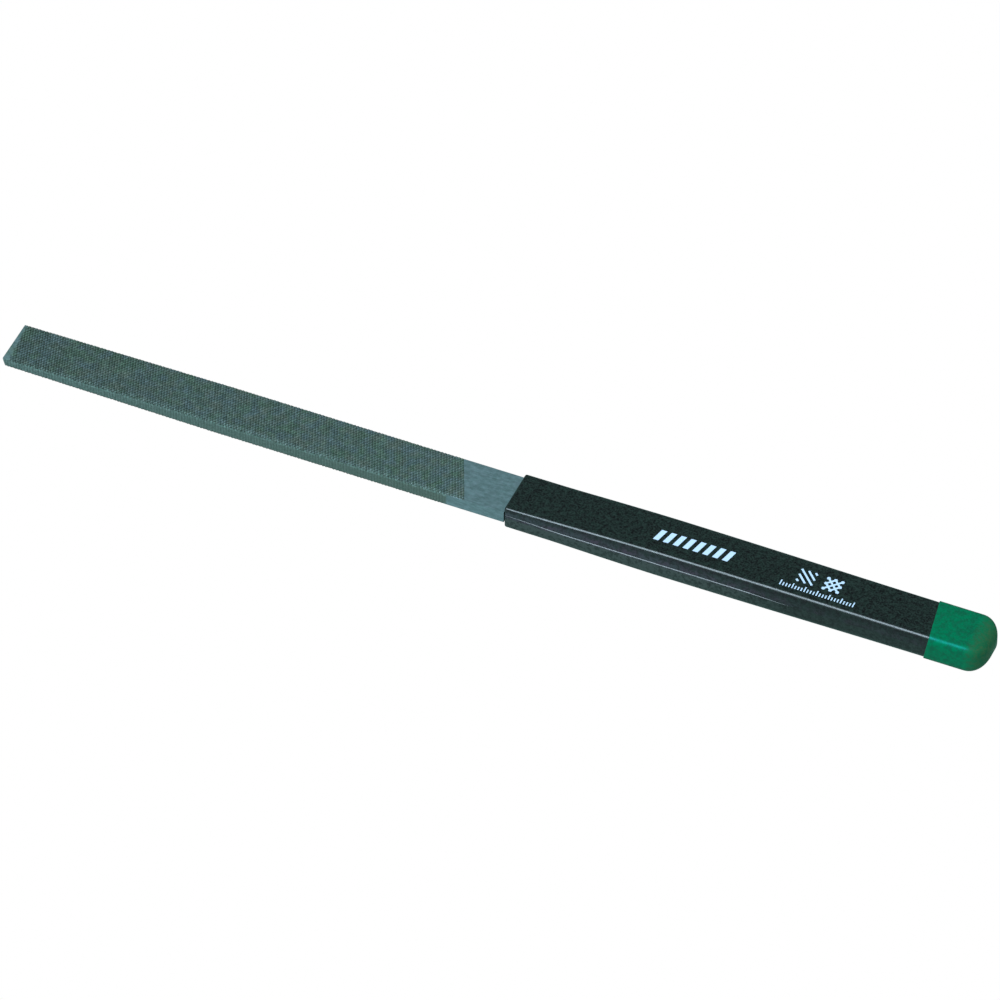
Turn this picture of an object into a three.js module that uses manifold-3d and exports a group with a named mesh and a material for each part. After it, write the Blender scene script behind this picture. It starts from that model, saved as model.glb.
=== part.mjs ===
// A flat file for metalwork: a steel blank pushed into a black vinyl grip with a green vinyl cap.
//
// Millimetres. +X runs along the file from the blade's tip to the cap, +Y across its broad face and
// +Z out of that face. The origin is the middle of the bounding box. A distance whose name ends in
// "At" is measured along the file from the tip, and toX() turns it into the model's own X.

import * as THREE from 'three';
import { mergeVertices } from 'three/addons/utils/BufferGeometryUtils.js';
import Module from 'manifold-3d';

const wasm = await Module();
wasm.setup();

// ---------------------------------------------------------------- driving dimensions

const OVERALL_LENGTH = 215;

const BLADE = {
  width: 10.8,
  thickness: 2.74,
  tipWidth: 10.6,
  tipThickness: 1.85,
  tipBreak: 0.05, // each corner of the tip is broken by this much
  tipLean: 0.5, // the tip's end face slopes back by this much from its upper to its lower edge
  parallelAt: 47, // the blade tapers from here to the tip
  shoulderAt: 111.4, // the blade ends here and the tang begins
};

const TANG = {
  width: 7.6,
  endWidth: 5.6,
  endThickness: 2.1,
  endAt: 190,
  fillet: 0.5, // radius between the tang and the shoulder
};

const SLEEVE = {
  width: 11,
  mouthThickness: 5.35,
  crestThickness: 6.85,
  rearThickness: 6.2,
  riseFromAt: 105.5, // where the rise to the crest would start, just in front of the mouth
  crestFromAt: 148, // the grip is thickest and flat between these two places
  crestToAt: 154,
  endAt: 210,
  rimRadius: 0.3, // rounding of the mouth's outer edge
  mouthCorner: 0.5, // the section's corners have this radius at the mouth
  frontCorner: 0.9, // and this one from the next place on
  frontCornerAt: 124,
  rearCornerWidth: 1.1, // then they grow into quarter ellipses
  rearCornerHeight: 1.65,
  rearCornerAt: 200,
  ridgeHeight: 0.2, // the moulding line along each side
  ridgeStartHeight: 0.08, // at the mouth
  ridgeFullAt: 126,
  ridgeLift: 0.4, // above the middle of the side
  ridgeFadeFromAt: 162,
  ridgeFadeToAt: 176,
  tangClearance: 0.15, // all round the tang
  mouthGap: 0.1, // between the blade's shoulder and the mouth
};

const CAP = {
  wall: 0.24,
  clearance: 0.05, // between the cap's bore and the sleeve
  rimAt: 201.6, // where the rim crosses the centre line
  rimYaw: 10, // degrees that the rim leans in plan
  rimPitch: 9.5, // degrees that the rim leans in side view
  domeLength: 4.6, // the closed end rounds over this length
  domeExponent: 2.2, // of the dome's superellipse outline: 2 is an ellipse, more is squarer
  domeTipShare: 0.02, // the dome ends in a flat this small, as a share of the section
};

const ARC_STEPS = 6; // facets of each rounded corner
const DOME_STEPS = 10;
const SLOPE_STEPS = 10; // stations along each slope of the grip
const CUT_OVERRUN = 1; // how far a cutting solid runs past the face it opens

// ---------------------------------------------------------------- derived places

const toX = (distanceFromTip) => distanceFromTip - OVERALL_LENGTH / 2;
const toDistance = (x) => x + OVERALL_LENGTH / 2;
const TIP_X = toX(0);
const SHOULDER_X = toX(BLADE.shoulderAt);
const MOUTH_X = SHOULDER_X + SLEEVE.mouthGap;
const SLEEVE_END_X = toX(SLEEVE.endAt);
const CAP_END_X = toX(OVERALL_LENGTH);
const RIM_X = toX(CAP.rimAt);

// ---------------------------------------------------------------- shared geometry

const { degToRad, lerp, smoothstep } = THREE.MathUtils;

// Evenly spaced values from one end to the other, both included.
function evenly(from, to, steps) {
  return Array.from({ length: steps + 1 }, (_, step) => lerp(from, to, step / steps));
}

function toSolid(geometry) {
  const bare = geometry.clone();
  bare.deleteAttribute('normal');
  bare.deleteAttribute('uv');
  const merged = mergeVertices(bare, 1e-5);
  return new wasm.Manifold(new wasm.Mesh({
    numProp: 3,
    vertProperties: new Float32Array(merged.attributes.position.array),
    triVerts: new Uint32Array(merged.index.array),
  }));
}

function toMesh(name, solid, material) {
  const { vertProperties, triVerts } = solid.getMesh();
  const geometry = new THREE.BufferGeometry();
  geometry.setAttribute('position', new THREE.BufferAttribute(vertProperties, 3));
  geometry.setIndex(new THREE.BufferAttribute(triVerts, 1));
  geometry.computeVertexNormals();
  const mesh = new THREE.Mesh(geometry, new THREE.MeshStandardMaterial(material));
  mesh.name = name;
  return mesh;
}

// The shape between a line of points above the X axis and its mirror image below.
function mirroredShape(upperPoints) {
  const lowerPoints = upperPoints.map((point) => new THREE.Vector2(point.x, -point.y)).reverse();
  return new THREE.Shape([...upperPoints, ...lowerPoints]);
}

// Extrudes a shape drawn in (x, y) to the given depth, centred on z = 0.
function plate(shape, depth) {
  return new THREE.ExtrudeGeometry(shape, { depth, bevelEnabled: false }).translate(0, 0, -depth / 2);
}

// The outline of one section as (y, z) points: a rectangle with rounded or elliptical corners, and a
// point on each side, at height ridgeLift, that may stand out by `ridge`.
function sectionOutline({ halfWidth, halfHeight, corner: [width, height], ridge = 0, ridgeLift = 0 }) {
  const corner = (signY, signZ, startAngle) => evenly(startAngle, startAngle + Math.PI / 2, ARC_STEPS)
    .map((angle) => new THREE.Vector2(
      signY * (halfWidth - width) + width * Math.cos(angle),
      signZ * (halfHeight - height) + height * Math.sin(angle),
    ));
  return [
    new THREE.Vector2(halfWidth + ridge, ridgeLift),
    ...corner(1, 1, 0),
    ...corner(-1, 1, Math.PI / 2),
    new THREE.Vector2(-halfWidth - ridge, ridgeLift),
    ...corner(-1, -1, Math.PI),
    ...corner(1, -1, 1.5 * Math.PI),
  ];
}

// Skins a row of sections along X and closes each end with a fan.
function loft(sections) {
  const outlines = sections.map(sectionOutline);
  const count = outlines[0].length;
  const last = outlines.length - 1;
  const vertices = outlines.flatMap((outline, station) => outline.flatMap(
    (point) => [sections[station].x, point.x, point.y],
  ));
  const frontCentre = outlines.length * count;
  const rearCentre = frontCentre + 1;
  vertices.push(sections[0].x, 0, 0, sections[last].x, 0, 0);

  const triangles = [];
  for (let i = 0; i < count; i += 1) {
    const next = (i + 1) % count;
    for (let front = 0; front < last * count; front += count) {
      const rear = front + count;
      triangles.push(front + i, front + next, rear + i);
      triangles.push(front + next, rear + next, rear + i);
    }
    triangles.push(frontCentre, next, i);
    triangles.push(rearCentre, last * count + i, last * count + next);
  }
  const geometry = new THREE.BufferGeometry();
  geometry.setAttribute('position', new THREE.Float32BufferAttribute(vertices, 3));
  geometry.setIndex(triangles);
  return geometry;
}

// ---------------------------------------------------------------- file blank

function blankPlan() {
  const { width, tipWidth, tipBreak, parallelAt } = BLADE;
  const tangEdge = TANG.width / 2;
  const fillet = new THREE.EllipseCurve(
    SHOULDER_X + TANG.fillet,
    tangEdge + TANG.fillet,
    TANG.fillet,
    TANG.fillet,
    Math.PI,
    1.5 * Math.PI,
  );
  return mirroredShape([
    new THREE.Vector2(TIP_X, tipWidth / 2 - tipBreak),
    new THREE.Vector2(TIP_X + tipBreak, tipWidth / 2),
    new THREE.Vector2(toX(parallelAt), width / 2),
    new THREE.Vector2(SHOULDER_X, width / 2),
    ...fillet.getPoints(ARC_STEPS),
    new THREE.Vector2(toX(TANG.endAt), TANG.endWidth / 2),
  ]);
}

function blankSide() {
  const profile = (side, tipX) => [
    new THREE.Vector2(tipX, side * BLADE.tipThickness / 2),
    new THREE.Vector2(toX(BLADE.parallelAt), side * BLADE.thickness / 2),
    new THREE.Vector2(SHOULDER_X, side * BLADE.thickness / 2),
    new THREE.Vector2(toX(TANG.endAt), side * TANG.endThickness / 2),
  ];
  return new THREE.Shape([...profile(1, TIP_X), ...profile(-1, TIP_X + BLADE.tipLean).reverse()]);
}

// Blade, shoulder and tang are one piece of steel: what its plan and its side view have in common.
function fileBlank() {
  const plan = plate(blankPlan(), 2 * BLADE.thickness);
  const side = plate(blankSide(), 2 * BLADE.width).rotateX(Math.PI / 2);
  const solid = toSolid(plan).intersect(toSolid(side));
  return toMesh('file_blank', solid, { color: 0x55686a, roughness: 0.45, metalness: 0.9 });
}

// ---------------------------------------------------------------- grip sleeve

function sleeveThickness(distance) {
  const rise = smoothstep(distance, SLEEVE.riseFromAt, SLEEVE.crestFromAt);
  const fall = smoothstep(distance, SLEEVE.crestToAt, SLEEVE.endAt);
  return lerp(SLEEVE.mouthThickness, SLEEVE.crestThickness, rise)
    - (SLEEVE.crestThickness - SLEEVE.rearThickness) * fall;
}

// Width and height of the section's corners.
function sleeveCorner(distance) {
  const { mouthCorner, frontCorner, frontCornerAt, rearCornerAt } = SLEEVE;
  const front = lerp(mouthCorner, frontCorner, smoothstep(distance, toDistance(MOUTH_X), frontCornerAt));
  const growth = smoothstep(distance, frontCornerAt, rearCornerAt);
  return [
    lerp(front, SLEEVE.rearCornerWidth, growth),
    lerp(front, SLEEVE.rearCornerHeight, growth),
  ];
}

// The sleeve's outer section at x, drawn in by `inset` all round.
function sleeveSection(x, inset = 0) {
  const distance = toDistance(x);
  const start = smoothstep(distance, toDistance(MOUTH_X), SLEEVE.ridgeFullAt);
  const stay = 1 - smoothstep(distance, SLEEVE.ridgeFadeFromAt, SLEEVE.ridgeFadeToAt);
  return {
    x,
    halfWidth: SLEEVE.width / 2 - inset,
    halfHeight: sleeveThickness(distance) / 2 - inset,
    corner: sleeveCorner(distance).map((size) => size - inset),
    ridge: lerp(SLEEVE.ridgeStartHeight, SLEEVE.ridgeHeight, start) * stay,
    ridgeLift: SLEEVE.ridgeLift * stay,
  };
}

function sleeveOutside() {
  const { rimRadius, crestFromAt, crestToAt } = SLEEVE;
  const rim = evenly(Math.PI / 2, 0, ARC_STEPS).map((angle) => sleeveSection(
    MOUTH_X + rimRadius * (1 - Math.sin(angle)),
    rimRadius * (1 - Math.cos(angle)),
  ));
  const frontSlope = evenly(MOUTH_X + rimRadius, toX(crestFromAt), SLOPE_STEPS).slice(1);
  const rearSlope = evenly(toX(crestToAt), SLEEVE_END_X, SLOPE_STEPS);
  return loft([...rim, ...[...frontSlope, ...rearSlope].map((x) => sleeveSection(x))]);
}

// The pocket follows the tang's taper and runs out through both ends of the sleeve.
function tangPocket() {
  const section = (x) => {
    const share = (x - SHOULDER_X) / (toX(TANG.endAt) - SHOULDER_X);
    return {
      x,
      halfWidth: lerp(TANG.width, TANG.endWidth, share) / 2 + SLEEVE.tangClearance,
      halfHeight: lerp(BLADE.thickness, TANG.endThickness, share) / 2 + SLEEVE.tangClearance,
      corner: [SLEEVE.tangClearance, SLEEVE.tangClearance],
    };
  };
  return loft([section(SHOULDER_X - CUT_OVERRUN), section(SLEEVE_END_X + CUT_OVERRUN)]);
}

// The flare in the mouth clears the fillets between the tang and the shoulder.
function mouthFlare() {
  const reach = TANG.fillet + SLEEVE.tangClearance;
  const pocketEdge = TANG.width / 2 + SLEEVE.tangClearance;
  const flare = mirroredShape([
    new THREE.Vector2(MOUTH_X - CUT_OVERRUN, pocketEdge + reach),
    new THREE.Vector2(MOUTH_X, pocketEdge + reach),
    new THREE.Vector2(MOUTH_X + reach, pocketEdge),
  ]);
  return plate(flare, BLADE.thickness + 2 * SLEEVE.tangClearance);
}

function gripSleeve() {
  const solid = toSolid(sleeveOutside())
    .subtract(toSolid(tangPocket()))
    .subtract(toSolid(mouthFlare()));
  return toMesh('grip_sleeve', solid, { color: 0x1a2220, roughness: 0.38, metalness: 0 });
}

// ---------------------------------------------------------------- end cap

// A section of the cap: the sleeve's own section grown by `offset`, then shrunk to a share of it.
function capSection(x, offset, share = 1) {
  const { halfWidth, halfHeight, corner } = sleeveSection(Math.min(x, SLEEVE_END_X));
  return {
    x,
    halfWidth: (halfWidth + offset) * share,
    halfHeight: (halfHeight + offset) * share,
    corner: corner.map((size) => (size + offset) * share),
  };
}

function capOutside() {
  const offset = CAP.clearance + CAP.wall;
  const domeX = CAP_END_X - CAP.domeLength;
  const body = evenly(RIM_X - SLEEVE.width / 2, domeX, SLOPE_STEPS).map((x) => capSection(x, offset));
  const dome = evenly(0, Math.PI / 2, DOME_STEPS).slice(1).map((angle) => {
    const reach = Math.sin(angle);
    const share = (1 - reach ** CAP.domeExponent) ** (1 / CAP.domeExponent);
    return capSection(domeX + CAP.domeLength * reach, offset, Math.max(share, CAP.domeTipShare));
  });
  return loft([...body, ...dome]);
}

function capBore() {
  const stations = evenly(RIM_X - SLEEVE.width, SLEEVE_END_X + CAP.clearance, SLOPE_STEPS);
  return loft(stations.map((x) => capSection(x, CAP.clearance)));
}

// Everything in front of the cap's leaning rim.
function rimCutter() {
  const size = 6 * SLEEVE.width;
  return new THREE.BoxGeometry(size, size, size)
    .translate(-size / 2, 0, 0)
    .rotateY(degToRad(CAP.rimPitch))
    .rotateZ(degToRad(CAP.rimYaw))
    .translate(RIM_X, 0, 0);
}

function endCap() {
  const solid = toSolid(capOutside())
    .subtract(toSolid(capBore()))
    .subtract(toSolid(rimCutter()));
  return toMesh('end_cap', solid, { color: 0x0a6b4c, roughness: 0.42, metalness: 0 });
}

// ---------------------------------------------------------------- assembly

const file = new THREE.Group();
file.add(fileBlank(), gripSleeve(), endCap());

export default file;
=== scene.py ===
"""Looks of a slim flat file: a double-cut steel blade, a black vinyl grip and a green vinyl end cap.

Everything is in metres, in the row frame: +X runs from the blade's tip to the cap, +Y across the broad
face and +Z out of it. Lengths are written in millimetres and multiplied by MM.
"""

import math

import bmesh
import bpy
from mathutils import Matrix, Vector, noise


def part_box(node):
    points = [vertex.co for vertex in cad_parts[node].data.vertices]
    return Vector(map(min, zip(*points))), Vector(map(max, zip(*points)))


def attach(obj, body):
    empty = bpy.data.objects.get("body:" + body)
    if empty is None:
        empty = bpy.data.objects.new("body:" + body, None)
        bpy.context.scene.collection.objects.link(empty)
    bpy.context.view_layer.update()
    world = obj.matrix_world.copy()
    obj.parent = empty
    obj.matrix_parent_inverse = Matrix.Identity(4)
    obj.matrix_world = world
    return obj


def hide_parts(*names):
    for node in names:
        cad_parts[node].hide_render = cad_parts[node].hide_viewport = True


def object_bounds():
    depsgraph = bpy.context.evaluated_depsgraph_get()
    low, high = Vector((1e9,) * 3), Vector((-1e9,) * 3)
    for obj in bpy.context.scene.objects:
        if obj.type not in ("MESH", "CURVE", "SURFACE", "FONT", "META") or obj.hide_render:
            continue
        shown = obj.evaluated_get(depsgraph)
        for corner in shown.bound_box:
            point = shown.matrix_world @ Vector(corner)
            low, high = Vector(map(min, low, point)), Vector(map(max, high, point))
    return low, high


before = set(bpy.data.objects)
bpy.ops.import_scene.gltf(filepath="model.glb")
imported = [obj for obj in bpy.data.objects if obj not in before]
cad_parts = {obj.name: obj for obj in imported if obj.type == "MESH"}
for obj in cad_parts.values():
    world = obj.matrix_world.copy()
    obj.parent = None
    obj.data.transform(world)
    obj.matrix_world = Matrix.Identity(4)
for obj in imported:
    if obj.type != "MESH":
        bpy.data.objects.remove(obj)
cad_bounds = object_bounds()

MM = 0.001
BODY = "root"

# ---------------------------------------------------------------- places taken from the CAD model

BLANK_LOW, BLANK_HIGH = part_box("file_blank")
SLEEVE_LOW, SLEEVE_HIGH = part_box("grip_sleeve")
TIP_X = BLANK_LOW.x
TANG_END_X = BLANK_HIGH.x
MOUTH_X = SLEEVE_LOW.x
SLEEVE_END_X = SLEEVE_HIGH.x
CAP_END_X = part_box("end_cap")[1].x

# ---------------------------------------------------------------- file blank

BLADE_HALF_WIDTH = BLANK_HIGH.y
BLADE_HALF_THICKNESS = BLANK_HIGH.z
TIP_HALF_WIDTH = 5.3 * MM
TIP_HALF_THICKNESS = 0.925 * MM
TIP_BREAK = 0.05 * MM  # each corner of the tip is broken by this much
TIP_LEAN = 0.5 * MM  # the tip's end face slopes back by this much from its upper to its lower edge
TAPER_LENGTH = 47 * MM  # the blade tapers over this length, back from the tip
MOUTH_GAP = 0.1 * MM  # between the blade's shoulder and the mouth of the grip
SHOULDER_X = MOUTH_X - MOUTH_GAP
EDGE_BREAK = 0.03 * MM  # the cut long edges are broken by this much across the broad face
EDGE_STEP = 0.35 * MM  # and by this much down the narrow side
SMOOTH_BREAK = 0.01 * MM  # the same two sizes on the uncut part of each long edge
SMOOTH_STEP = 0.04 * MM
CUT_END_BLEND = 0.4 * MM  # behind the teeth, the cut steel turns into the uncut one over this length
SHOULDER_STEPS = 24  # across the uncut part of a broad face

TANG_HALF_WIDTH = 3.8 * MM
TANG_END_HALF_WIDTH = 2.8 * MM
TANG_END_HALF_THICKNESS = 1.05 * MM
TANG_FILLET = 0.5 * MM
TANG_STEP = 0.04 * MM  # the tang is this much thinner than the blade on each side
TANG_CORNER = 0.2 * MM
TANG_FILLET_STEPS = 6
TANG_CORNER_STEPS = 4

# The up-cut: the main rows of teeth. They lean back across the face, and both their pitch and their
# lean grow from the tip to the root.
ROWS = 171
ROW_PITCH_TIP = 0.558 * MM  # along the blade
ROW_PITCH_ROOT = 0.616 * MM
ROW_LEAN_TIP = math.tan(math.radians(18.9))
ROW_LEAN_ROOT = math.tan(math.radians(24.2))
ROWS_AHEAD = 5  # rows that start in front of the tip, which the slant brings back onto the blade
ROW_PROFILE = ((0.0, 1.0), (0.24, 0.0), (0.62, 0.46))  # share of the pitch, share of the depth
ROW_DEPTH = 0.14 * MM
END_WALL = 0.06  # share of the pitch: behind the last row the cut ends in a steep wall
END_WALL_DEPTH = 0.9  # share of the depth at the wall's foot

# The over-cut: the rows that lean the other way and part the teeth from each other.
CROSS_PITCH = 0.7733 * MM  # along the blade
CROSS_LEAN = math.tan(math.radians(35.7))
CROSS_PROFILE = (1.0, 0.4, 0.0, 0.4)  # shares of the depth at the quarters of one pitch
CROSS_DEPTH = 0.19 * MM
CREST_RISE = 0.13 * MM  # cutting raises the crests this far above the plain blank

# The narrow sides have a single cut, square across.
SIDE_PITCH = 0.62 * MM
SIDE_PROFILE = ((0.0, 1.0), (0.3, 0.0), (0.65, 0.45))
SIDE_DEPTH = 0.08 * MM
SIDE_RISE = 0.05 * MM  # of the crests above the plain side
SIDE_CUT_LENGTH = 99 * MM

UNEVENNESS = 0.4  # a tooth's depth varies by up to about this share
UNEVEN_LENGTH = 0.8 * MM  # and it does so over about this distance
UNEVEN_SEED = 3.7  # picks the pattern; the upper face adds 1 to it and the lower one takes 1 away
TIP_STRIP_NEAR = 1.9 * MM  # the upper teeth are full at this distance from the tip at the -Y edge
TIP_STRIP_FAR = 0.6 * MM  # and at this one at the +Y edge
TIP_STRIP_BARE = 0.4  # they start at this share of that distance
TIP_STRIP_ZONE = 0.6  # the bare strip looks this much like cut steel

# Two values at each vertex, for the material: how deep it lies in the cut, as a share of the over-cut's
# depth, and whether the steel there is cut (1) or only ground (0).
DEPTH_LAYER = "cut_depth"
ZONE_LAYER = "cut_zone"

MERGE_DISTANCE = 0.004 * MM  # vertices of the teeth that are closer than this are merged
CLOSE = 0.01 * MM  # a vertex this close to a boundary line lies on it
ON_PLANE = 0.00001 * MM  # the same for a slicing plane


def lerp(start, end, share):
    return start + (end - start) * share


def evenly(start, end, steps):
    return [lerp(start, end, step / steps) for step in range(steps + 1)]


def smoothstep(value, start, end):
    share = min(max((value - start) / (end - start), 0), 1)
    return share * share * (3 - 2 * share)


def blade_half_width(x):
    return lerp(TIP_HALF_WIDTH, BLADE_HALF_WIDTH, min((x - TIP_X) / TAPER_LENGTH, 1))


def blade_half_thickness(x):
    return lerp(TIP_HALF_THICKNESS, BLADE_HALF_THICKNESS, min((x - TIP_X) / TAPER_LENGTH, 1))


def row_x(row):
    """Where an up-cut row crosses the blade's centre line."""
    growth = (ROW_PITCH_ROOT - ROW_PITCH_TIP) / (2 * ROWS)
    return TIP_X + row * ROW_PITCH_TIP + growth * row * row


def row_lean(row):
    return lerp(ROW_LEAN_TIP, ROW_LEAN_ROOT, row / ROWS)


def hand_cut(x, y, seed):
    """A factor for a tooth's depth, mostly between 0.8 and 1.2."""
    return 1 + UNEVENNESS * noise.noise(Vector((x / UNEVEN_LENGTH, y / UNEVEN_LENGTH, seed)))


def start_of_cut(x, y):
    """0 on the bare strip along the tip, which is wider towards -Y, and 1 where the teeth are full."""
    full = lerp(TIP_STRIP_NEAR, TIP_STRIP_FAR, (y / BLADE_HALF_WIDTH + 1) / 2)
    return smoothstep(x - TIP_X, TIP_STRIP_BARE * full, full)


def row_stations():
    """(row, share of the row depth) of every line of vertices along the up-cut rows."""
    for row in range(-ROWS_AHEAD, ROWS):
        for share, depth in ROW_PROFILE:
            yield row + share, depth
    yield ROWS - END_WALL, END_WALL_DEPTH
    yield ROWS, 0.0


def toothed_sheet(bm, seed):
    """One broad face's teeth as a flat sheet around the plain blank's surface, which is at z = 0.

    The vertices lie where up-cut lines cross over-cut lines, so that every tooth is a clean diamond.
    The sheet runs past the blade's edges, and its last line, at the root, is on the plain surface.
    """
    parts = len(CROSS_PROFILE)
    margin = BLADE_HALF_WIDTH + CROSS_PITCH
    grid = {}
    stations = list(row_stations())
    for station, (row, row_share) in enumerate(stations):
        centre = row_x(row)
        spread = row_lean(row) + CROSS_LEAN
        first = math.floor((centre - margin * spread) / CROSS_PITCH * parts)
        last = math.ceil((centre + margin * spread) / CROSS_PITCH * parts)
        for line in range(first, last + 1):
            cross = line * CROSS_PITCH / parts
            y = (centre - cross) / spread
            x = cross + y * CROSS_LEAN
            cut = max(row_share * ROW_DEPTH, CROSS_PROFILE[line % parts] * CROSS_DEPTH)
            height = 0 if row == ROWS else CREST_RISE - cut * hand_cut(x, y, seed)
            grid[station, line] = bm.verts.new((x, y, height * start_of_cut(x, y)))
    for station, line in grid:
        corners = ((station, line), (station + 1, line), (station + 1, line + 1), (station, line + 1))
        if all(corner in grid for corner in corners):
            bm.faces.new([grid[corner] for corner in corners])


def slice_off(bm, point, outward):
    """Removes what lies beyond a plane."""
    bmesh.ops.bisect_plane(
        bm,
        geom=bm.verts[:] + bm.edges[:] + bm.faces[:],
        dist=ON_PLANE,
        plane_co=point,
        plane_no=outward,
        clear_outer=True,
    )


def zip_rows(bm, first, second):
    """Fills the strip between two rows of vertices with triangles, by the shorter diagonal each time."""
    i, j = 0, 0
    while i + 1 < len(first) or j + 1 < len(second):
        can_step_first = i + 1 < len(first)
        can_step_second = j + 1 < len(second)
        if can_step_first and can_step_second:
            reach_first = (first[i + 1].co - second[j].co).length
            reach_second = (first[i].co - second[j + 1].co).length
            can_step_first = reach_first <= reach_second
        if can_step_first:
            bm.faces.new((first[i], first[i + 1], second[j]))
            i += 1
        else:
            bm.faces.new((first[i], second[j + 1], second[j]))
            j += 1


def zip_loops(bm, first, second):
    """The same between two closed rings of vertices."""
    zip_rows(bm, first + first[:1], second + second[:1])


def trimmed_sheet(seed):
    """One broad face's teeth, sliced off at the blade's edges and tip."""
    sheet = bmesh.new()
    toothed_sheet(sheet, seed)
    edge = BLADE_HALF_WIDTH - EDGE_BREAK
    slice_off(sheet, (0, edge, 0), (0, 1, 0))
    slice_off(sheet, (0, -edge, 0), (0, -1, 0))
    slice_off(sheet, (TIP_X, 0, 0), (-1, 0, 0))
    bmesh.ops.remove_doubles(sheet, verts=sheet.verts[:], dist=MERGE_DISTANCE)
    return sheet


def rows_through(x, y, side):
    """The names of the sheet's boundary lines that run through one of its boundary vertices."""
    edge = side * (BLADE_HALF_WIDTH - EDGE_BREAK)
    distances = {
        "tip": x - TIP_X,
        "near": y + edge,
        "far": y - edge,
        "root": x + y * row_lean(ROWS) - row_x(ROWS),
    }
    return [name for name, distance in distances.items() if abs(distance) < CLOSE]


def add_teeth(bm, side):
    """Lays a trimmed sheet on the tapering blade. Returns its boundary rows by name.

    The lower face, side -1, is the upper one turned over about the X axis. Near is -Y and far is +Y.
    """
    sheet = trimmed_sheet(UNEVEN_SEED + side)
    depth_layer = bm.verts.layers.float[DEPTH_LAYER]
    zone_layer = bm.verts.layers.float[ZONE_LAYER]
    boundary = {vertex for edge in sheet.edges if edge.is_boundary for vertex in edge.verts}
    made, rows = {}, {"tip": [], "near": [], "far": [], "root": []}
    for vertex in sheet.verts:
        x, y, height = vertex.co
        new_y = y * blade_half_width(x) / BLADE_HALF_WIDTH
        new = bm.verts.new((x, side * new_y, side * (blade_half_thickness(x) + height)))
        new[depth_layer] = (CREST_RISE * start_of_cut(x, y) - height) / CROSS_DEPTH
        new[zone_layer] = lerp(TIP_STRIP_ZONE, 1, start_of_cut(x, y))
        made[vertex] = new
        if vertex in boundary:
            for name in rows_through(x, y, side):
                rows[name].append(new)
    for vertex in rows["root"]:
        vertex[depth_layer] = vertex[zone_layer] = 0
    for face in sheet.faces:
        bm.faces.new([made[vertex] for vertex in face.verts])
    sheet.free()
    for name in ("tip", "root"):
        rows[name].sort(key=lambda vertex: vertex.co.y)
    for name in ("near", "far"):
        rows[name].sort(key=lambda vertex: vertex.co.x)
    return rows


def broad_face(bm, side):
    """Adds a broad face: its teeth and the uncut part behind them. Returns its boundary rows by name."""
    rows = add_teeth(bm, side)
    smooth_start = row_x(ROWS) + CUT_END_BLEND
    smooth_edge = BLADE_HALF_WIDTH - SMOOTH_BREAK
    z = side * BLADE_HALF_THICKNESS
    start, shoulder = [], []
    for y in evenly(-smooth_edge, smooth_edge, SHOULDER_STEPS):
        start.append(bm.verts.new((smooth_start - side * y * row_lean(ROWS), y, z)))
        shoulder.append(bm.verts.new((SHOULDER_X, y, z)))
    zip_rows(bm, rows["root"], start)
    zip_rows(bm, start, shoulder)
    rows["near"] += [start[0], shoulder[0]]
    rows["far"] += [start[-1], shoulder[-1]]
    rows["shoulder"] = shoulder
    return rows


def side_stations():
    """(x, share of the cut depth, 1 where it is cut and 0 where not) along a narrow side."""
    rows = int(SIDE_CUT_LENGTH / SIDE_PITCH)
    for row in range(rows):
        for share, depth in SIDE_PROFILE:
            yield TIP_X + (row + share) * SIDE_PITCH, depth, 1
    cut_end = TIP_X + rows * SIDE_PITCH
    yield cut_end, 0.0, 1
    yield cut_end + CUT_END_BLEND, 0.0, 0
    yield SHOULDER_X, 0.0, 0


def narrow_side(bm, side, upper_edge, lower_edge):
    """Adds one single-cut narrow side between two edge rows. Returns its first and last columns."""
    depth_layer = bm.verts.layers.float[DEPTH_LAYER]
    zone_layer = bm.verts.layers.float[ZONE_LAYER]
    upper, lower = [], []
    for x, share, is_cut in side_stations():
        depth = share * SIDE_DEPTH
        y = side * (blade_half_width(x) + SIDE_RISE * is_cut - depth)
        z = blade_half_thickness(x) - (EDGE_STEP if is_cut else SMOOTH_STEP)
        for row, sign in ((upper, 1), (lower, -1)):
            vertex = bm.verts.new((x, y, sign * z))
            vertex[depth_layer] = depth / CROSS_DEPTH
            vertex[zone_layer] = is_cut
            row.append(vertex)
    for i in range(len(upper) - 1):
        bm.faces.new((upper[i], upper[i + 1], lower[i + 1], lower[i]))
    zip_rows(bm, upper_edge, upper)
    zip_rows(bm, lower, lower_edge)
    return (upper[0], lower[0]), (upper[-1], lower[-1])


def around(vertices):
    """The vertices of a ring about the X axis, in order of angle."""
    return sorted(vertices, key=lambda vertex: math.atan2(vertex.co.z, vertex.co.y))


def rounded_rectangle(half_width, half_height, radius, steps):
    """(y, z) points of a rounded rectangle."""
    points = []
    for quarter, (sign_y, sign_z) in enumerate(((1, 1), (-1, 1), (-1, -1), (1, -1))):
        for step in range(steps + 1):
            angle = (quarter + step / steps) * math.pi / 2
            y = sign_y * (half_width - radius) + radius * math.cos(angle)
            z = sign_z * (half_height - radius) + radius * math.sin(angle)
            points.append((y, z))
    return points


def bridge_rings(bm, rings):
    """Quads between each ring of vertices and the next. All rings have the same count."""
    count = len(rings[0])
    for ring, following in zip(rings, rings[1:]):
        for i in range(count):
            j = (i + 1) % count
            bm.faces.new((ring[i], ring[j], following[j], following[i]))


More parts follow.
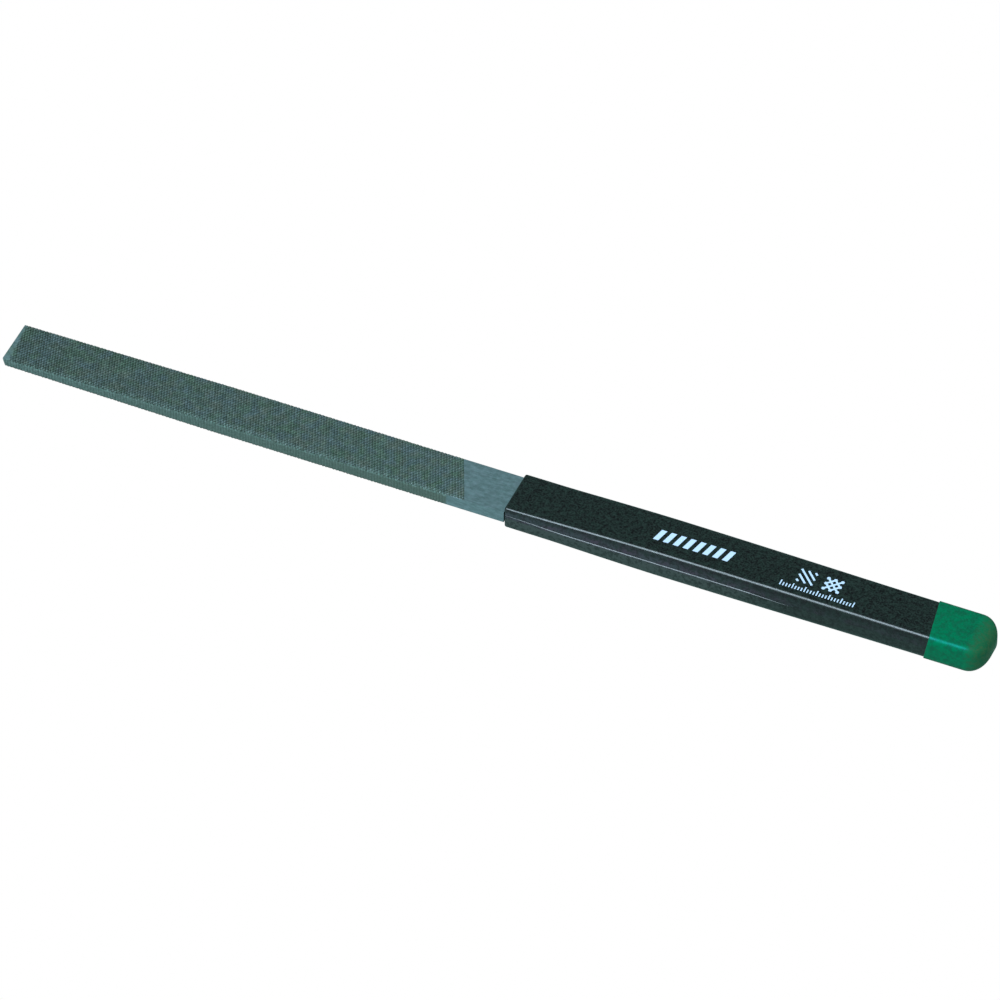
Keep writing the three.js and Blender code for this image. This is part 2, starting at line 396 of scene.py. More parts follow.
def tang_sections():
    """(x, half width, half thickness) along the tang, with the fillets into the shoulder first."""
    thickness = BLADE_HALF_THICKNESS - TANG_STEP
    for angle in evenly(0, math.pi / 2, TANG_FILLET_STEPS):
        x = SHOULDER_X + TANG_FILLET * (1 - math.cos(angle))
        yield x, TANG_HALF_WIDTH + TANG_FILLET * (1 - math.sin(angle)), thickness
    yield TANG_END_X - TANG_CORNER, TANG_END_HALF_WIDTH, TANG_END_HALF_THICKNESS
    yield TANG_END_X, TANG_END_HALF_WIDTH - TANG_CORNER, TANG_END_HALF_THICKNESS - TANG_CORNER


def file_blank():
    """The blade, its shoulder and the tang as one closed mesh."""
    bm = bmesh.new()
    bm.verts.layers.float.new(DEPTH_LAYER)
    bm.verts.layers.float.new(ZONE_LAYER)
    top = broad_face(bm, 1)
    bottom = broad_face(bm, -1)
    near_tip, near_end = narrow_side(bm, -1, top["near"], bottom["near"])
    far_tip, far_end = narrow_side(bm, 1, top["far"], bottom["far"])

    bm.faces.new(top["tip"] + list(far_tip) + bottom["tip"][::-1] + list(near_tip)[::-1])

    rings = []
    for x, half_width, half_thickness in tang_sections():
        outline = rounded_rectangle(half_width, half_thickness, TANG_CORNER, TANG_CORNER_STEPS)
        rings.append(around([bm.verts.new((x, y, z)) for y, z in outline]))
    bridge_rings(bm, rings)
    bm.faces.new(rings[-1])
    shoulder = top["shoulder"] + list(far_end) + bottom["shoulder"] + list(near_end)
    zip_loops(bm, around(shoulder), rings[0])

    upper_edge = (TIP_X, 0, TIP_HALF_THICKNESS)
    trims = [(upper_edge, Vector((-2 * TIP_HALF_THICKNESS, 0, -TIP_LEAN)))]
    for side in (-1, 1):
        corner = (TIP_X, side * (TIP_HALF_WIDTH - TIP_BREAK), 0)
        trims.append((corner, Vector((-1, side, 0))))
    for point, away in trims:
        slice_off(bm, point, away.normalized())
        bmesh.ops.edgeloop_fill(bm, edges=[edge for edge in bm.edges if edge.is_boundary])
    return make_piece("file_blank_cut", bm, steel(), "file_blank", TOOTH_SMOOTH_ANGLE)


# ---------------------------------------------------------------- making a piece from a mesh

SMOOTH_ANGLE = 40  # degrees between two faces up to which they are shaded as one surface
TOOTH_SMOOTH_ANGLE = 12  # the same on the toothed blank


def make_piece(name, bm, material, node, smooth_angle=SMOOTH_ANGLE):
    """Turns a mesh into a piece that stands for a CAD node, or for none."""
    bmesh.ops.recalc_face_normals(bm, faces=bm.faces[:])
    mesh = bpy.data.meshes.new(name)
    bm.to_mesh(mesh)
    bm.free()
    mesh.polygons.foreach_set("use_smooth", [True] * len(mesh.polygons))
    mesh.set_sharp_from_angle(angle=math.radians(smooth_angle))
    mesh.materials.append(material)
    piece = bpy.data.objects.new(name, mesh)
    bpy.context.scene.collection.objects.link(piece)
    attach(piece, BODY)
    if node:
        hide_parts(node)
    return piece


# ---------------------------------------------------------------- grip sleeve

SLEEVE_HALF_WIDTH = 5.5 * MM
SLEEVE_MOUTH_THICKNESS = 5.35 * MM
SLEEVE_CREST_THICKNESS = SLEEVE_HIGH.z - SLEEVE_LOW.z
SLEEVE_REAR_THICKNESS = 6.2 * MM
SLEEVE_RIM = 0.45 * MM
RISE_FROM_X = TIP_X + 105.5 * MM
CREST_FROM_X = TIP_X + 148 * MM
CREST_TO_X = TIP_X + 154 * MM
MOUTH_CORNER = 0.65 * MM
FRONT_CORNER = 0.9 * MM
FRONT_CORNER_X = TIP_X + 124 * MM
REAR_CORNER_WIDTH = 1.1 * MM
REAR_CORNER_HEIGHT = 1.65 * MM
REAR_CORNER_X = TIP_X + 200 * MM
LEDGE_START_WIDTH = 0.06 * MM  # the moulding line along each side is a narrow sloping ledge
LEDGE_WIDTH = 0.23 * MM
LEDGE_SLOPE = 0.9  # the ledge's height is this share of its width
LEDGE_LEAST_HEIGHT = 0.04 * MM
LEDGE_POWER = 1.6  # of the ledge's cross section: 2 is straight and 1 is a quarter ellipse
LEDGE_START_LIFT = 0.8 * MM  # above the middle of the side, at the mouth
LEDGE_LIFT = 0.35 * MM
LEDGE_FULL_X = TIP_X + 126 * MM
LEDGE_FADE_FROM_X = TIP_X + 162 * MM
LEDGE_FADE_TO_X = TIP_X + 176 * MM
POCKET_CLEARANCE = 0.15 * MM
POCKET_STEPS = 8
ARC_STEPS = 10
LEDGE_STEPS = 6
RIM_STEPS = 6
STATION_SPACING = 1.2 * MM


def sleeve_half_thickness(x):
    rise = smoothstep(x, RISE_FROM_X, CREST_FROM_X)
    fall = smoothstep(x, CREST_TO_X, SLEEVE_END_X)
    front = lerp(SLEEVE_MOUTH_THICKNESS, SLEEVE_CREST_THICKNESS, rise)
    return (front - (SLEEVE_CREST_THICKNESS - SLEEVE_REAR_THICKNESS) * fall) / 2


def sleeve_corner(x, grow=0):
    """Width and height of the sleeve's rounded corners, grown by an offset."""
    front = lerp(MOUTH_CORNER, FRONT_CORNER, smoothstep(x, MOUTH_X, FRONT_CORNER_X))
    growth = smoothstep(x, FRONT_CORNER_X, REAR_CORNER_X)
    return lerp(front, REAR_CORNER_WIDTH, growth) + grow, lerp(front, REAR_CORNER_HEIGHT, growth) + grow


def arc(centre, reach, quarter, steps, power=1):
    """(y, z) points of a quarter ellipse, or of a flatter curve between the same ends."""
    points = []
    for angle in evenly(0, math.pi / 2, steps):
        first, second = math.cos(angle) ** power, math.sin(angle) ** power
        for _ in range(quarter):
            first, second = -second, first
        points.append((centre[0] + reach[0] * first, centre[1] + reach[1] * second))
    return points


def grip_outline(half_width, half_height, corner, ledge=None, lift=0):
    """(y, z) points of one section, from +Y towards +Z: a rectangle with elliptical corners.

    Where ledge is given, each side steps out by that much, below a sloping ledge at height lift.
    """
    y, z = half_width - corner[0], half_height - corner[1]
    right = left = []
    if ledge is not None:
        reach = (ledge, max(ledge * LEDGE_SLOPE, LEDGE_LEAST_HEIGHT))
        right = arc((half_width, lift), reach, 0, LEDGE_STEPS, LEDGE_POWER)
        left = [(-across, up) for across, up in reversed(right)]
    return [
        *right,
        *arc((y, z), corner, 0, ARC_STEPS),
        *arc((-y, z), corner, 1, ARC_STEPS),
        *left,
        *arc((-y, -z), corner, 2, ARC_STEPS),
        *arc((y, -z), corner, 3, ARC_STEPS),
    ]


def ring_at(bm, x, outline):
    """A ring of vertices in the plane at x."""
    return [bm.verts.new((x, y, z)) for y, z in outline]


def sleeve_outline(x, inset=0):
    """The sleeve's outer section at x, drawn in by inset."""
    full = smoothstep(x, MOUTH_X, LEDGE_FULL_X)
    stay = 1 - smoothstep(x, LEDGE_FADE_FROM_X, LEDGE_FADE_TO_X)
    return grip_outline(
        SLEEVE_HALF_WIDTH - inset,
        sleeve_half_thickness(x) - inset,
        sleeve_corner(x, -inset),
        ledge=lerp(LEDGE_START_WIDTH, LEDGE_WIDTH, full) * stay,
        lift=lerp(LEDGE_START_LIFT, LEDGE_LIFT, full) * stay,
    )


def pocket_outline(x, widen=0):
    """The section of the sleeve's pocket at x. It has as many points as the outer one."""
    share = (x - SHOULDER_X) / (TANG_END_X - SHOULDER_X)
    half_width = lerp(TANG_HALF_WIDTH, TANG_END_HALF_WIDTH, share) + POCKET_CLEARANCE + widen
    half_height = lerp(BLADE_HALF_THICKNESS, TANG_END_HALF_THICKNESS, share) + POCKET_CLEARANCE
    return grip_outline(half_width, half_height, (POCKET_CLEARANCE, POCKET_CLEARANCE), ledge=0)


def grip_sleeve():
    """The sleeve with its rounded mouth and the pocket for the tang, as one closed skin."""
    bm = bmesh.new()
    rings = []
    for angle in evenly(math.pi / 2, 0, RIM_STEPS):
        x = MOUTH_X + SLEEVE_RIM * (1 - math.sin(angle))
        rings.append(ring_at(bm, x, sleeve_outline(x, SLEEVE_RIM * (1 - math.cos(angle)))))
    start = MOUTH_X + SLEEVE_RIM
    steps = round((SLEEVE_END_X - start) / STATION_SPACING)
    for x in evenly(start, SLEEVE_END_X, steps)[1:]:
        rings.append(ring_at(bm, x, sleeve_outline(x)))
    flare = TANG_FILLET + POCKET_CLEARANCE
    for x in evenly(SLEEVE_END_X, MOUTH_X + flare, POCKET_STEPS):
        rings.append(ring_at(bm, x, pocket_outline(x)))
    rings.append(ring_at(bm, MOUTH_X, pocket_outline(MOUTH_X, flare)))
    rings.append(rings[0])
    bridge_rings(bm, rings)
    return make_piece("grip_sleeve_vinyl", bm, black_vinyl(), "grip_sleeve")


# ---------------------------------------------------------------- end cap

CAP_CLEARANCE = 0.05 * MM
CAP_WALL = 0.24 * MM
RIM_X = TIP_X + 201.6 * MM  # where the rim crosses the centre line
RIM_YAW = math.radians(10)  # how much the rim leans in plan
RIM_PITCH = math.radians(9.5)  # and in side view
DOME_LENGTH = 4.6 * MM
DOME_EXPONENT = 2.2  # of the dome's superellipse outline: 2 is an ellipse, more is squarer
DOME_TIP_SHARE = 0.02  # the dome ends in a flat this small, as a share of the section
DOME_STEPS = 26
RIM_ROUND = 0.1 * MM
RIM_ROUND_STEPS = 3
CAP_BORE_STEPS = 6
CAP_WALL_STEPS = 12


def leaning_rim_x(y, z):
    """Where the plane of the cap's rim crosses a line along X at (y, z)."""
    normal = Vector((
        math.cos(RIM_PITCH) * math.cos(RIM_YAW),
        math.cos(RIM_PITCH) * math.sin(RIM_YAW),
        -math.sin(RIM_PITCH),
    ))
    return RIM_X - (normal.y * y + normal.z * z) / normal.x


def cap_ring(bm, share, offset, end_x, back=0):
    """A ring of the cap's wall: it leans like the rim at share 0 and stands square, at end_x, at 1."""
    middle = lerp(RIM_X, end_x, share)
    at = min(middle, SLEEVE_END_X)
    outline = grip_outline(
        SLEEVE_HALF_WIDTH + offset,
        sleeve_half_thickness(at) + offset,
        sleeve_corner(at, offset),
    )
    return [bm.verts.new((lerp(leaning_rim_x(y, z) + back, end_x, share), y, z)) for y, z in outline]


def end_cap():
    """The cap as one closed skin: bore, rounded rim, wall and dome."""
    bm = bmesh.new()
    outer = CAP_CLEARANCE + CAP_WALL
    bore_end = SLEEVE_END_X + CAP_CLEARANCE
    dome_x = CAP_END_X - DOME_LENGTH
    rings = [cap_ring(bm, share, CAP_CLEARANCE, bore_end) for share in evenly(1, 0, CAP_BORE_STEPS)]
    for angle in evenly(0, math.pi / 2, RIM_ROUND_STEPS):
        offset = outer - RIM_ROUND * (1 - math.sin(angle))
        rings.append(cap_ring(bm, 0, offset, dome_x, back=RIM_ROUND * (1 - math.cos(angle))))
    rings += [cap_ring(bm, share, outer, dome_x) for share in evenly(0, 1, CAP_WALL_STEPS)[1:]]
    dome_outline = grip_outline(
        SLEEVE_HALF_WIDTH + outer,
        sleeve_half_thickness(SLEEVE_END_X) + outer,
        sleeve_corner(SLEEVE_END_X, outer),
    )
    for angle in evenly(0, math.pi / 2, DOME_STEPS)[1:]:
        reach = math.sin(angle)
        share = max((1 - reach**DOME_EXPONENT) ** (1 / DOME_EXPONENT), DOME_TIP_SHARE)
        outline = [(y * share, z * share) for y, z in dome_outline]
        rings.append(ring_at(bm, dome_x + DOME_LENGTH * reach, outline))
    bridge_rings(bm, rings)
    bm.faces.new(rings[0])
    bm.faces.new(rings[-1])
    return make_piece("end_cap_vinyl", bm, green_vinyl(), "end_cap")


# ---------------------------------------------------------------- printed marks

PRINT_LIFT = 0.012 * MM
PRINT_SINK = 0.01 * MM
SECOND_COAT = 0.004 * MM  # strokes that cross others are printed this much thicker

# The places of the prints are in millimetres. "At" means from the blade's tip; "low" and "high" are Y.
BARS_AT = 142.4
BAR_COUNT = 8
BAR_PITCH = 2.13
BAR_WIDTH = 1.15
BAR_SLANT = 0.75
BARS_LOW = -2.0
BARS_HIGH = 1.0

SINGLE_CUT_AT = 172.9
DOUBLE_CUT_AT = 178.5
SYMBOL_SIZE = 3.5
SYMBOL_LOW = -1.3
SYMBOL_STROKE = 0.42
HATCH_LINES = 5
HATCH_INSET = 0.15  # share of the size that the first and last lines keep from the square's corners

TICKS_AT = 170.4
TICK_COUNT = 25
TICK_PITCH = 0.65
TICKS_PER_LONG_ONE = 4
TICKS_LOW = -3.6
TICK_HIGH = -2.7
LONG_TICK_HIGH = -2.2
TICK_STROKE = 0.26


def add_stroke(bm, start, end, width, lift=PRINT_LIFT):
    """A straight printed stroke between two (distance from the tip, y) points in millimetres."""
    start = Vector((TIP_X + start[0] * MM, start[1] * MM))
    end = Vector((TIP_X + end[0] * MM, end[1] * MM))
    along = (end - start).normalized()
    side = Vector((-along.y, along.x)) * width * MM / 2
    add_patch(bm, (start - side, end - side, end + side, start + side), lift)


def add_patch(bm, corners, lift=PRINT_LIFT):
    """A thin layer of ink on the grip's broad face."""
    layers = []
    for height in (-PRINT_SINK, lift):
        layers.append([
            bm.verts.new((corner.x, corner.y, sleeve_half_thickness(corner.x) + height))
            for corner in corners
        ])
    lower, upper = layers
    bm.faces.new(lower[::-1])
    bm.faces.new(upper)
    bridge_rings(bm, layers)


def slanted_bars(bm):
    """A plain row of slanted bars."""
    for bar in range(BAR_COUNT):
        left = BARS_AT + bar * BAR_PITCH
        outline = (
            (left, BARS_LOW),
            (left + BAR_WIDTH, BARS_LOW),
            (left + BAR_WIDTH + BAR_SLANT, BARS_HIGH),
            (left + BAR_SLANT, BARS_HIGH),
        )
        add_patch(bm, [Vector((TIP_X + x * MM, y * MM)) for x, y in outline])


def hatching(size):
    """The two ends of each diagonal line that hatches a square, from corner to corner."""
    for reach in evenly(HATCH_INSET * size, (2 - HATCH_INSET) * size, HATCH_LINES - 1):
        low, high = max(reach - size, 0), min(reach, size)
        yield (low, high), (high, low)


def cut_symbols(bm):
    """Two small squares, one hatched once and one hatched twice, for the kinds of cut."""
    for left, crossed in ((SINGLE_CUT_AT, False), (DOUBLE_CUT_AT, True)):
        right = left + SYMBOL_SIZE
        for start, end in hatching(SYMBOL_SIZE):
            start_y, end_y = SYMBOL_LOW + start[1], SYMBOL_LOW + end[1]
            add_stroke(bm, (left + start[0], start_y), (left + end[0], end_y), SYMBOL_STROKE)
            if crossed:
                mirrored = (right - start[0], start_y), (right - end[0], end_y)
                add_stroke(bm, *mirrored, SYMBOL_STROKE, PRINT_LIFT + SECOND_COAT)


def tick_row(bm):
    """A short scale of fine ticks, every fourth one longer."""
    for tick in range(TICK_COUNT):
        x = TICKS_AT + tick * TICK_PITCH
        high = TICK_HIGH if tick % TICKS_PER_LONG_ONE else LONG_TICK_HIGH
        add_stroke(bm, (x, TICKS_LOW), (x, high), TICK_STROKE)


def printed_marks():
    bm = bmesh.new()
    slanted_bars(bm)
    cut_symbols(bm)
    tick_row(bm)
    return make_piece("grip_print", bm, print_ink(), None)


# ---------------------------------------------------------------- materials


class Nodes:
    """Adds and links shader nodes of one material."""

    def __init__(self, name):
        self.material = bpy.data.materials.new(name)
        self.material.use_nodes = True
        self.tree = self.material.node_tree
        self.tree.nodes.clear()

    def add(self, kind, inputs=None, **settings):
        node = self.tree.nodes.new("ShaderNode" + kind)
        for name, value in settings.items():
            setattr(node, name, value)
        for name, value in (inputs or {}).items():
            self.put(node.inputs[name], value)
        return node

    def put(self, socket, value):
        if isinstance(value, bpy.types.NodeSocket):
            self.tree.links.new(value, socket)
        else:
            socket.default_value = value

    def place(self, scale=(1, 1, 1)):
        """Object coordinates in millimetres, stretched by scale."""
        coordinates = self.add("TexCoord").outputs["Object"]
        stretch = [factor / MM for factor in scale]
        return self.add("Mapping", {"Vector": coordinates, "Scale": stretch}).outputs["Vector"]

    def where(self, axis):
        """One of the object coordinates, in metres."""
        coordinates = self.add("TexCoord").outputs["Object"]
        return self.add("SeparateXYZ", {"Vector": coordinates}).outputs[axis]

    def facing(self, axis):
        """How much the surface faces along an axis, either way: from 0 to 1."""
        normal = self.add("NewGeometry").outputs["Normal"]
        return self.maths("ABSOLUTE", self.add("SeparateXYZ", {"Vector": normal}).outputs[axis])

    def vertex_value(self, layer):
        return self.add("Attribute", attribute_name=layer).outputs["Fac"]

    def noise(self, scale, detail=3.0, roughness=0.5, stretch=(1, 1, 1)):
        """Noise between 0 and 1, with about `scale` blotches to the millimetre."""
        return self.add("TexNoise", {
            "Vector": self.place(stretch),
            "Scale": scale,
            "Detail": detail,
            "Roughness": roughness,
        }).outputs["Fac"]

    def remap(self, value, low, high, to_low=0.0, to_high=1.0):
        """Turns low...high into to_low...to_high, and stays at those outside."""
        return self.add("MapRange", {
            "Value": value,
            "From Min": low,
            "From Max": high,
            "To Min": to_low,
            "To Max": to_high,
        }).outputs["Result"]

    def mix(self, share, first, second, blend="MIX"):
        node = self.add("Mix", data_type="RGBA", blend_type=blend)
        self.put(node.inputs["Factor"], share)
        self.put(node.inputs["A"], first)
        self.put(node.inputs["B"], second)
        return node.outputs["Result"]

    def maths(self, operation, *values):
        node = self.add("Math", operation=operation)
        for socket, value in zip(node.inputs, values):
            self.put(socket, value)
        return node.outputs["Value"]

    def product(self, first, *others):
        for other in others:
            first = self.maths("MULTIPLY", first, other)
        return first

    def bump(self, height, distance, strength=1.0, normal=None):
        inputs = {"Height": height, "Distance": distance, "Strength": strength}
        if normal:
            inputs["Normal"] = normal
        return self.add("Bump", inputs).outputs["Normal"]

    def finish(self, **inputs):
        """Ends the material in a principled surface. In an input's name, _ stands for a space."""
        names = {name.replace("_", " "): value for name, value in inputs.items()}
        surface = self.add("BsdfPrincipled", names)
        output = self.add("OutputMaterial")
        self.tree.links.new(surface.outputs["BSDF"], output.inputs["Surface"])
        return self.material


def colour(red, green, blue):
    return (red, green, blue, 1.0)


# A painted highlight: the teeth are painted brighter along the upper edge at -Y.
EDGE_HIGHLIGHT_WIDTH = 1.1 * MM  # the painted highlight reaches this far in from the edge
EDGE_HIGHLIGHT_FULL_WIDTH = 0.4 * MM  # and is full up to here
EDGE_HIGHLIGHT_DEPTH = 0.6 * MM  # the same two distances down the narrow side
EDGE_HIGHLIGHT_FULL_DEPTH = 0.3 * MM


def ground_steel(nodes):
    """The uncut steel: bluish, with fine ripples along the blade."""
    ripples = nodes.noise(1.8, detail=5, roughness=0.65, stretch=(0.4, 1, 1))
    dark, light = colour(0.35, 0.36, 0.42), colour(0.52, 0.53, 0.63)
    return nodes.mix(nodes.remap(ripples, 0.36, 0.64), dark, light)


def edge_highlight(nodes):
    """How much painted highlight the steel gets, in patches along one edge."""
    along = nodes.where("X")
    taper_end = TIP_X + TAPER_LENGTH
    surface = nodes.remap(along, TIP_X, taper_end, TIP_HALF_THICKNESS, BLADE_HALF_THICKNESS)
    height = nodes.maths("SUBTRACT", nodes.where("Z"), surface)
    edge = -BLADE_HALF_WIDTH
    by_edge = nodes.remap(nodes.where("Y"), edge + EDGE_HIGHLIGHT_WIDTH, edge + EDGE_HIGHLIGHT_FULL_WIDTH)
    by_top = nodes.remap(height, -EDGE_HIGHLIGHT_DEPTH, -EDGE_HIGHLIGHT_FULL_DEPTH)
    patches = nodes.remap(nodes.noise(1.8, detail=4, roughness=0.7), 0.42, 0.58, 0.1, 1.0)
    return nodes.product(by_edge, by_top, patches)


def cut_steel(nodes):
    """The toothed steel: greenish and bluish patches and fine specks, strongest at the tip."""
    along = nodes.where("X")
    grey, green, blue = colour(0.37, 0.365, 0.33), colour(0.30, 0.38, 0.30), colour(0.33, 0.37, 0.42)
    tint = nodes.mix(nodes.remap(nodes.noise(0.4, detail=3), 0.4, 0.6), grey, green)
    blue_patches = nodes.noise(0.45, detail=3, stretch=(1, 1, 3))
    tint = nodes.mix(nodes.remap(blue_patches, 0.4, 0.65), tint, blue)
    # Painted light and shade: the narrow sides get their own colour, lighter at the tip and darker
    # behind.
    side_shading_at_tip, side_shading_behind = colour(0.34, 0.365, 0.37), colour(0.285, 0.285, 0.26)
    narrow_side = nodes.mix(nodes.remap(along, TIP_X, 0), side_shading_at_tip, side_shading_behind)
    tint = nodes.mix(nodes.remap(nodes.facing("Y"), 0.8, 0.95), tint, narrow_side)
    # Painted highlight: the teeth along the upper edge at -Y get this lighter colour.
    wear_and_highlight = colour(0.52, 0.59, 0.59)
    tint = nodes.mix(edge_highlight(nodes), tint, wear_and_highlight)
    specks = nodes.remap(nodes.noise(2.4, detail=3), 0.38, 0.62, -1.0, 1.0)
    contrast = nodes.remap(along, TIP_X, 0, 0.25, 0.12)
    brightness = nodes.maths("MULTIPLY_ADD", specks, contrast, 1.0)
    return nodes.mix(1.0, tint, brightness, "MULTIPLY")


def steel():
    """Ground steel, another tint where it is cut, streaked lengthwise and darkened between the teeth
    with painted shade.
    """
    nodes = Nodes("file_steel_ground")
    zone = nodes.vertex_value(ZONE_LAYER)
    grain = nodes.noise(3.0, detail=4, stretch=(0.12, 1, 1))
    clean = nodes.mix(zone, ground_steel(nodes), cut_steel(nodes))
    # The second colour is painted shade, laid into the valleys between the teeth by their depth, most at
    # the tip.
    streak, valley_shade = colour(0.28, 0.29, 0.31), colour(0.07, 0.075, 0.065)
    streaked = nodes.mix(nodes.remap(grain, 0.3, 0.8, 0.0, 0.3), clean, streak)
    deepest_valley_shade = nodes.remap(nodes.where("X"), TIP_X, 0, 0.95, 0.7)
    in_valley = nodes.remap(nodes.vertex_value(DEPTH_LAYER), 0.15, 0.85, 0.0, deepest_valley_shade)
    roughness = nodes.remap(nodes.noise(1.2, detail=5), 0.3, 0.7, 0.34, 0.5)
    return nodes.finish(
        Base_Color=nodes.mix(in_valley, streaked, valley_shade),
        Metallic=1.0,
        Roughness=nodes.maths("MULTIPLY_ADD", zone, 0.12, roughness),
        Normal=nodes.bump(grain, 0.012 * MM, 0.6),
    )


def vinyl(nodes, base, dusty, roughness, sheen, **more):
    """A soft semi-gloss vinyl with a mottled sheen, orange peel, fine scuffs and a little dust."""
    scuffs = nodes.remap(nodes.noise(2.2, detail=6, roughness=0.7, stretch=(0.15, 1, 1)), 0.62, 0.74)
    dust = nodes.remap(nodes.noise(1.0, detail=6, roughness=0.7), 0.43, 0.58)
    dullness = nodes.maths("MAXIMUM", nodes.maths("MULTIPLY", scuffs, 0.35), dust)
    swing = 0.75 * sheen
    mottle = nodes.remap(nodes.noise(2.6, detail=4, roughness=0.65), 0.42, 0.58, -swing, swing)
    on_flat_faces = nodes.remap(nodes.facing("Z"), 0.9, 0.99, 0.2, 1.0)
    peel = nodes.bump(nodes.noise(1.1, detail=3), 0.02 * MM, 0.35)
    return nodes.finish(
        Base_Color=nodes.mix(dullness, base, dusty),
        Roughness=nodes.remap(nodes.noise(0.9, detail=5), 0.3, 0.7, *roughness),
        Specular_IOR_Level=nodes.maths("MULTIPLY_ADD", mottle, on_flat_faces, sheen),
        Normal=nodes.bump(nodes.noise(7.0, detail=3), 0.003 * MM, 0.4, peel),
        **more,
    )


REFLECTION_START_Z = 2.3 * MM  # the painted reflection on the grip's sides grows from here
REFLECTION_FULL_Z = 1.0 * MM  # down to here


def painted_reflection_share(nodes):
    """How much painted floor reflection there is: only on the sides, most in front and below the upper
    corner.
    """
    sideways = nodes.remap(nodes.facing("Y"), 0.8, 0.97)
    front = nodes.remap(nodes.where("X"), CREST_FROM_X, LEDGE_FADE_TO_X, 1.0, 0.25)
    patchy = nodes.remap(nodes.noise(1.3, detail=4, roughness=0.65), 0.42, 0.58, 0.4, 1.4)
    below_corner = nodes.remap(nodes.where("Z"), REFLECTION_START_Z, REFLECTION_FULL_Z, 0.3, 1.0)
    return nodes.product(sideways, front, patchy, below_corner)


def black_vinyl():
    """Black vinyl with a painted reflection of the floor on its sides, of another, greener and lighter
    tint below the ledge.
    """
    nodes = Nodes("grip_black_vinyl")
    share = painted_reflection_share(nodes)
    reddish, bluish, greenish = (
        colour(0.056, 0.032, 0.052),
        colour(0.042, 0.038, 0.048),
        colour(0.046, 0.049, 0.047),
    )
    black, dust = colour(0.005, 0.003, 0.004), colour(0.010, 0.014, 0.012)
    # Painted reflection: the sides are lightened where they mirror the floor, most below the ledge and
    # least under the upper corner.
    above_ledge = nodes.mix(nodes.remap(nodes.noise(0.25, detail=2), 0.42, 0.58), reddish, bluish)
    below_ledge = nodes.remap(nodes.where("Z"), LEDGE_LIFT, LEDGE_LIFT - LEDGE_WIDTH)
    reflection_colour = nodes.mix(below_ledge, above_ledge, greenish)
    base = nodes.mix(share, black, reflection_colour)
    dusty = nodes.mix(share, dust, reflection_colour)
    return vinyl(nodes, base, dusty, roughness=(0.26, 0.31), sheen=0.46)


def green_vinyl():
    """Green vinyl that has gone dull and olive on the end of the dome."""
    nodes = Nodes("cap_green_vinyl")
    wear_and_highlight = nodes.remap(nodes.where("X"), CAP_END_X - DOME_LENGTH, CAP_END_X)
    base = nodes.mix(wear_and_highlight, colour(0.0, 0.15, 0.062), colour(0.02, 0.12, 0.045))
    dusty = nodes.mix(wear_and_highlight, colour(0.004, 0.10, 0.045), colour(0.07, 0.14, 0.05))
    cyan = colour(0.06, 0.95, 1.0)
    return vinyl(nodes, base, dusty, roughness=(0.34, 0.46), sheen=0.35, Specular_Tint=cyan)


def print_ink():
    """Matt white ink, a little rubbed."""
    nodes = Nodes("grip_white_ink")
    wear = nodes.remap(nodes.noise(3.5, detail=5, roughness=0.7), 0.55, 0.75, 0.0, 0.5)
    fresh, rubbed = colour(0.68, 0.74, 0.95), colour(0.40, 0.44, 0.55)
    ink = nodes.mix(wear, fresh, rubbed)
    return nodes.finish(Base_Color=ink, Roughness=0.6, Normal=nodes.bump(wear, 0.004 * MM, 0.4))


# ---------------------------------------------------------------- floor, light and camera

CAMERA_AZIMUTH = math.radians(23.7)
CAMERA_ELEVATION = math.radians(45)
CAMERA_DISTANCE = 2.0
CAMERA_LENS = 358.5  # mm
CAMERA_SENSOR = 36  # mm wide
AIM_RIGHT = 0.666 * MM  # the camera looks at a point this far to the right of the origin
AIM_UP = -1.112 * MM  # and this far above it, as it sees them


def direction(azimuth, elevation):
    """From the origin towards a point seen at these angles. Azimuth 0 is at -Y and grows towards +X."""
    return Vector((
        math.sin(azimuth) * math.cos(elevation),
        -math.cos(azimuth) * math.cos(elevation),
        math.sin(elevation),
    ))


def add_camera():
    back = direction(CAMERA_AZIMUTH, CAMERA_ELEVATION)
    right = Vector((math.cos(CAMERA_AZIMUTH), math.sin(CAMERA_AZIMUTH), 0))
    up = back.cross(right)
    target = right * AIM_RIGHT + up * AIM_UP
    camera = bpy.data.objects.new("camera", bpy.data.cameras.new("camera"))
    camera.data.lens = CAMERA_LENS
    camera.data.sensor_width = CAMERA_SENSOR
    camera.data.clip_start = 0.1
    camera.data.clip_end = 20
    camera.location = target + back * CAMERA_DISTANCE
    camera.rotation_euler = back.to_track_quat("Z", "Y").to_euler()
    bpy.context.scene.collection.objects.link(camera)
    bpy.context.scene.camera = camera


WHITE = colour(1, 1, 1)
STUDIO = (0.46, 0.92, 0.84)  # the slightly green light of the studio
STUDIO_FLOOR_STRENGTH = 0.47
STUDIO_ROOM_STRENGTH = 0.4
FLOOR_HALF_SIZE = 3.0
FLOOR_GAP = 0.05 * MM  # below the object's lowest point


def white_or_studio(tree, strength):
    """A colour that is white to the camera and lights the object like the studio."""
    path = tree.nodes.new("ShaderNodeLightPath")
    tint = tree.nodes.new("ShaderNodeMix")
    tint.data_type = "RGBA"
    tint.inputs["A"].default_value = colour(*[channel * strength for channel in STUDIO])
    tint.inputs["B"].default_value = WHITE
    tree.links.new(path.outputs["Is Camera Ray"], tint.inputs["Factor"])
    return tint.outputs["Result"]


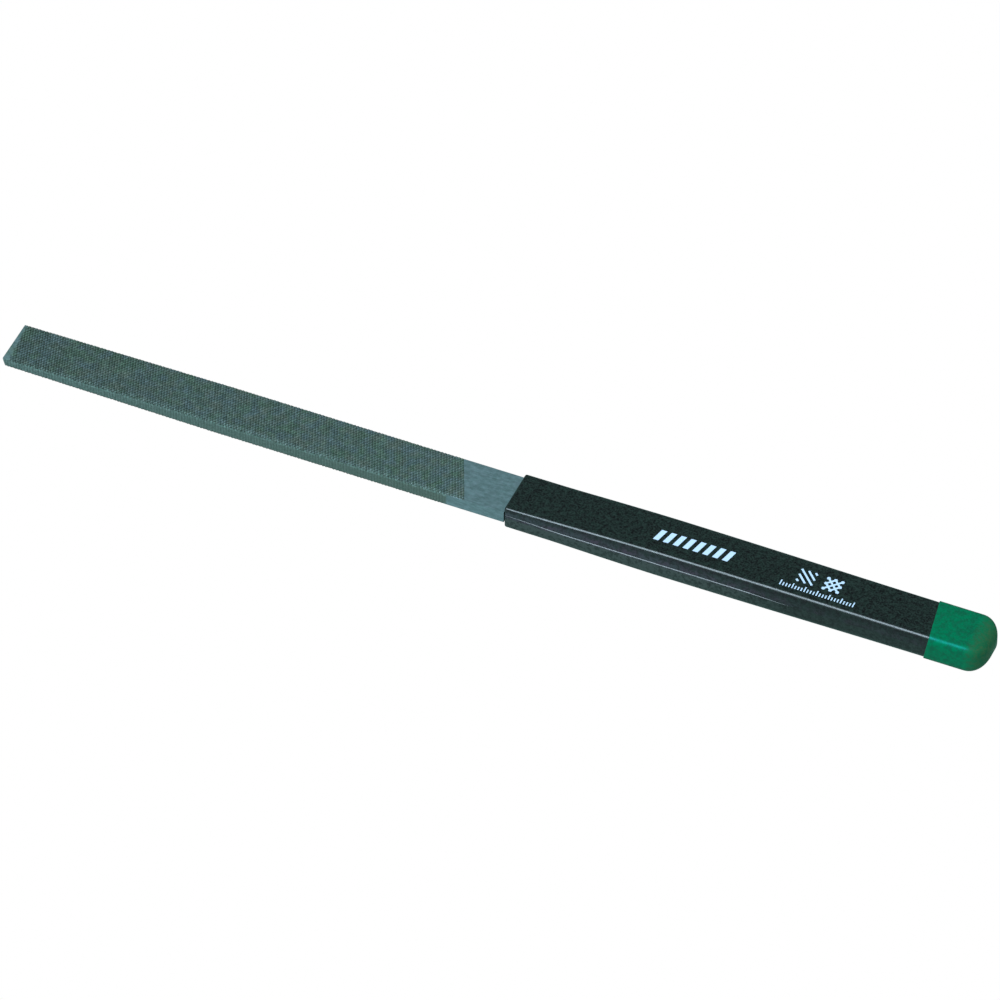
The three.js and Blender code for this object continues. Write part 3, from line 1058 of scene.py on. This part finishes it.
def floor_material():
    """Glows white, and is clear from below, so that the object can be looked at from there."""
    nodes = Nodes("white_floor")
    glow = nodes.add("Emission", {"Color": white_or_studio(nodes.tree, STUDIO_FLOOR_STRENGTH)})
    clear = nodes.add("BsdfTransparent")
    from_below = nodes.add("NewGeometry").outputs["Backfacing"]
    surface = nodes.add("MixShader", {"Fac": from_below})
    nodes.tree.links.new(glow.outputs["Emission"], surface.inputs[1])
    nodes.tree.links.new(clear.outputs["BSDF"], surface.inputs[2])
    output = nodes.add("OutputMaterial")
    nodes.tree.links.new(surface.outputs["Shader"], output.inputs["Surface"])
    return nodes.material


def add_floor():
    z = cad_bounds[0].z - FLOOR_GAP
    corners = ((-1, -1), (1, -1), (1, 1), (-1, 1))
    bm = bmesh.new()
    bm.faces.new([bm.verts.new((x * FLOOR_HALF_SIZE, y * FLOOR_HALF_SIZE, z)) for x, y in corners])
    mesh = bpy.data.meshes.new("floor")
    bm.to_mesh(mesh)
    bm.free()
    mesh.materials.append(floor_material())
    floor = bpy.data.objects.new("floor", mesh)
    bpy.context.scene.collection.objects.link(floor)


def add_world():
    world = bpy.data.worlds.new("studio")
    world.use_nodes = True
    bpy.context.scene.world = world
    tree = world.node_tree
    shown = white_or_studio(tree, STUDIO_ROOM_STRENGTH)
    tree.links.new(shown, tree.nodes["Background"].inputs["Color"])


def add_softbox(name, azimuth, elevation, distance, width, height, power, tint):
    """A rectangular lamp, in metres and watts, that points at the origin."""
    toward = direction(math.radians(azimuth), math.radians(elevation))
    light = bpy.data.lights.new(name, "AREA")
    light.shape = "RECTANGLE"
    light.size = width
    light.size_y = height
    light.energy = power
    light.color = tint
    lamp = bpy.data.objects.new(name, light)
    lamp.location = toward * distance
    lamp.rotation_euler = toward.to_track_quat("Z", "Y").to_euler()
    bpy.context.scene.collection.objects.link(lamp)


def add_key_light():
    add_softbox(
        "key",
        azimuth=-26,
        elevation=49.5,
        distance=1.5,
        width=0.9,
        height=0.7,
        power=32,
        tint=(0.69, 0.87, 1.0),
    )


# ---------------------------------------------------------------- the scene

file_blank()
grip_sleeve()
end_cap()
printed_marks()
add_floor()
add_world()
add_key_light()
add_camera()
bpy.context.scene.view_settings.view_transform = "Standard"
